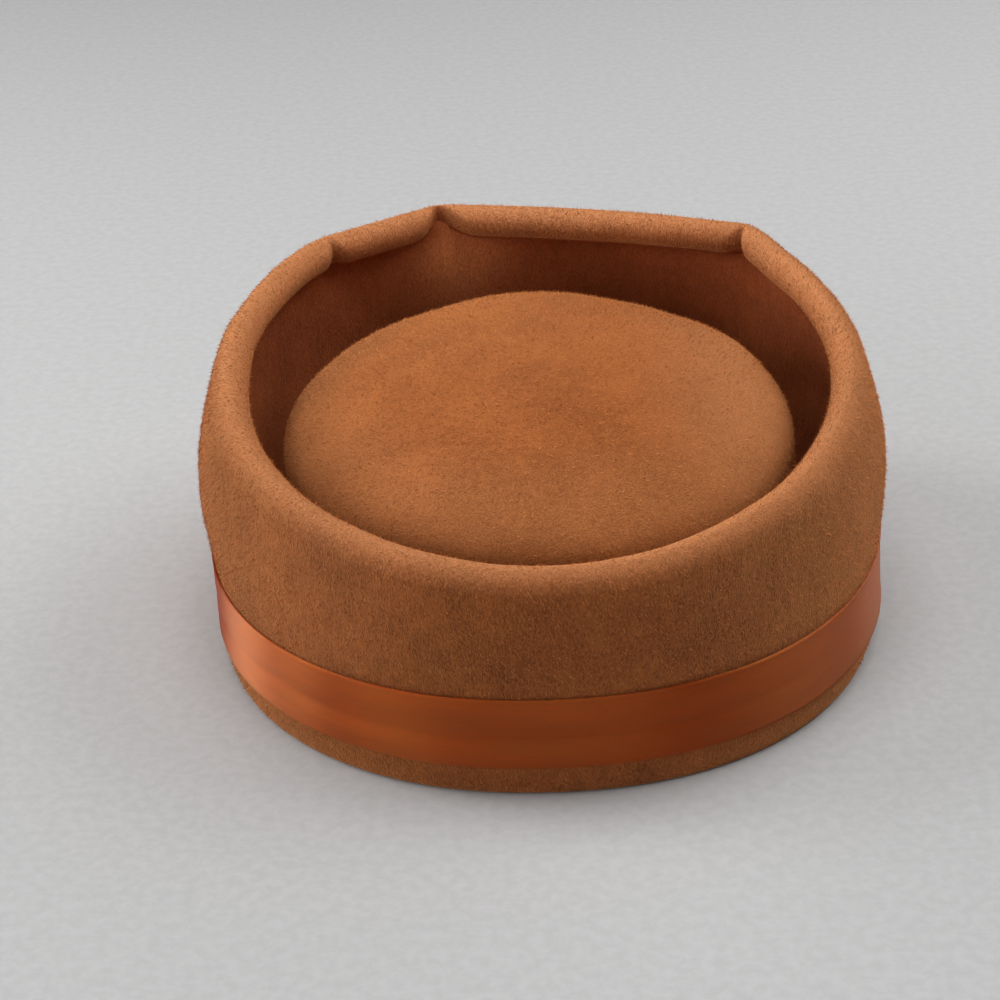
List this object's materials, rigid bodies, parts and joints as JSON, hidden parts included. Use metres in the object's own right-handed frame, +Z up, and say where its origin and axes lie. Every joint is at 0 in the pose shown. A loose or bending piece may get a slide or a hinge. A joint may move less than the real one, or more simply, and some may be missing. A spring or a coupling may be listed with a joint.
{
  "type": "pillbox hat",
  "caption": "Felt pillbox hat with a domed crown, a turned-up brim with a rolled and pinched edge, and a satin ribbon round its foot.",
  "frame": {"origin": "on the surface the hat rests on, under the middle of its outline seen from above", "axes": "+Z up, -Y towards the front of the hat, where the rolled edge is lowest, +X to the right of someone looking at that front"},
  "size_m": [0.2272, 0.2382, 0.1025],
  "materials": {
    "felt": "camel brown velour felt with a short raised nap, matt, lighter where it is seen at a low angle",
    "satin": "rust orange satin ribbon, smooth, with a soft sheen along its length"
  },
  "bodies": {
    "root": {"crown": "felt", "brim": "felt", "ribbon": "satin"}
  },
  "joints": []
}
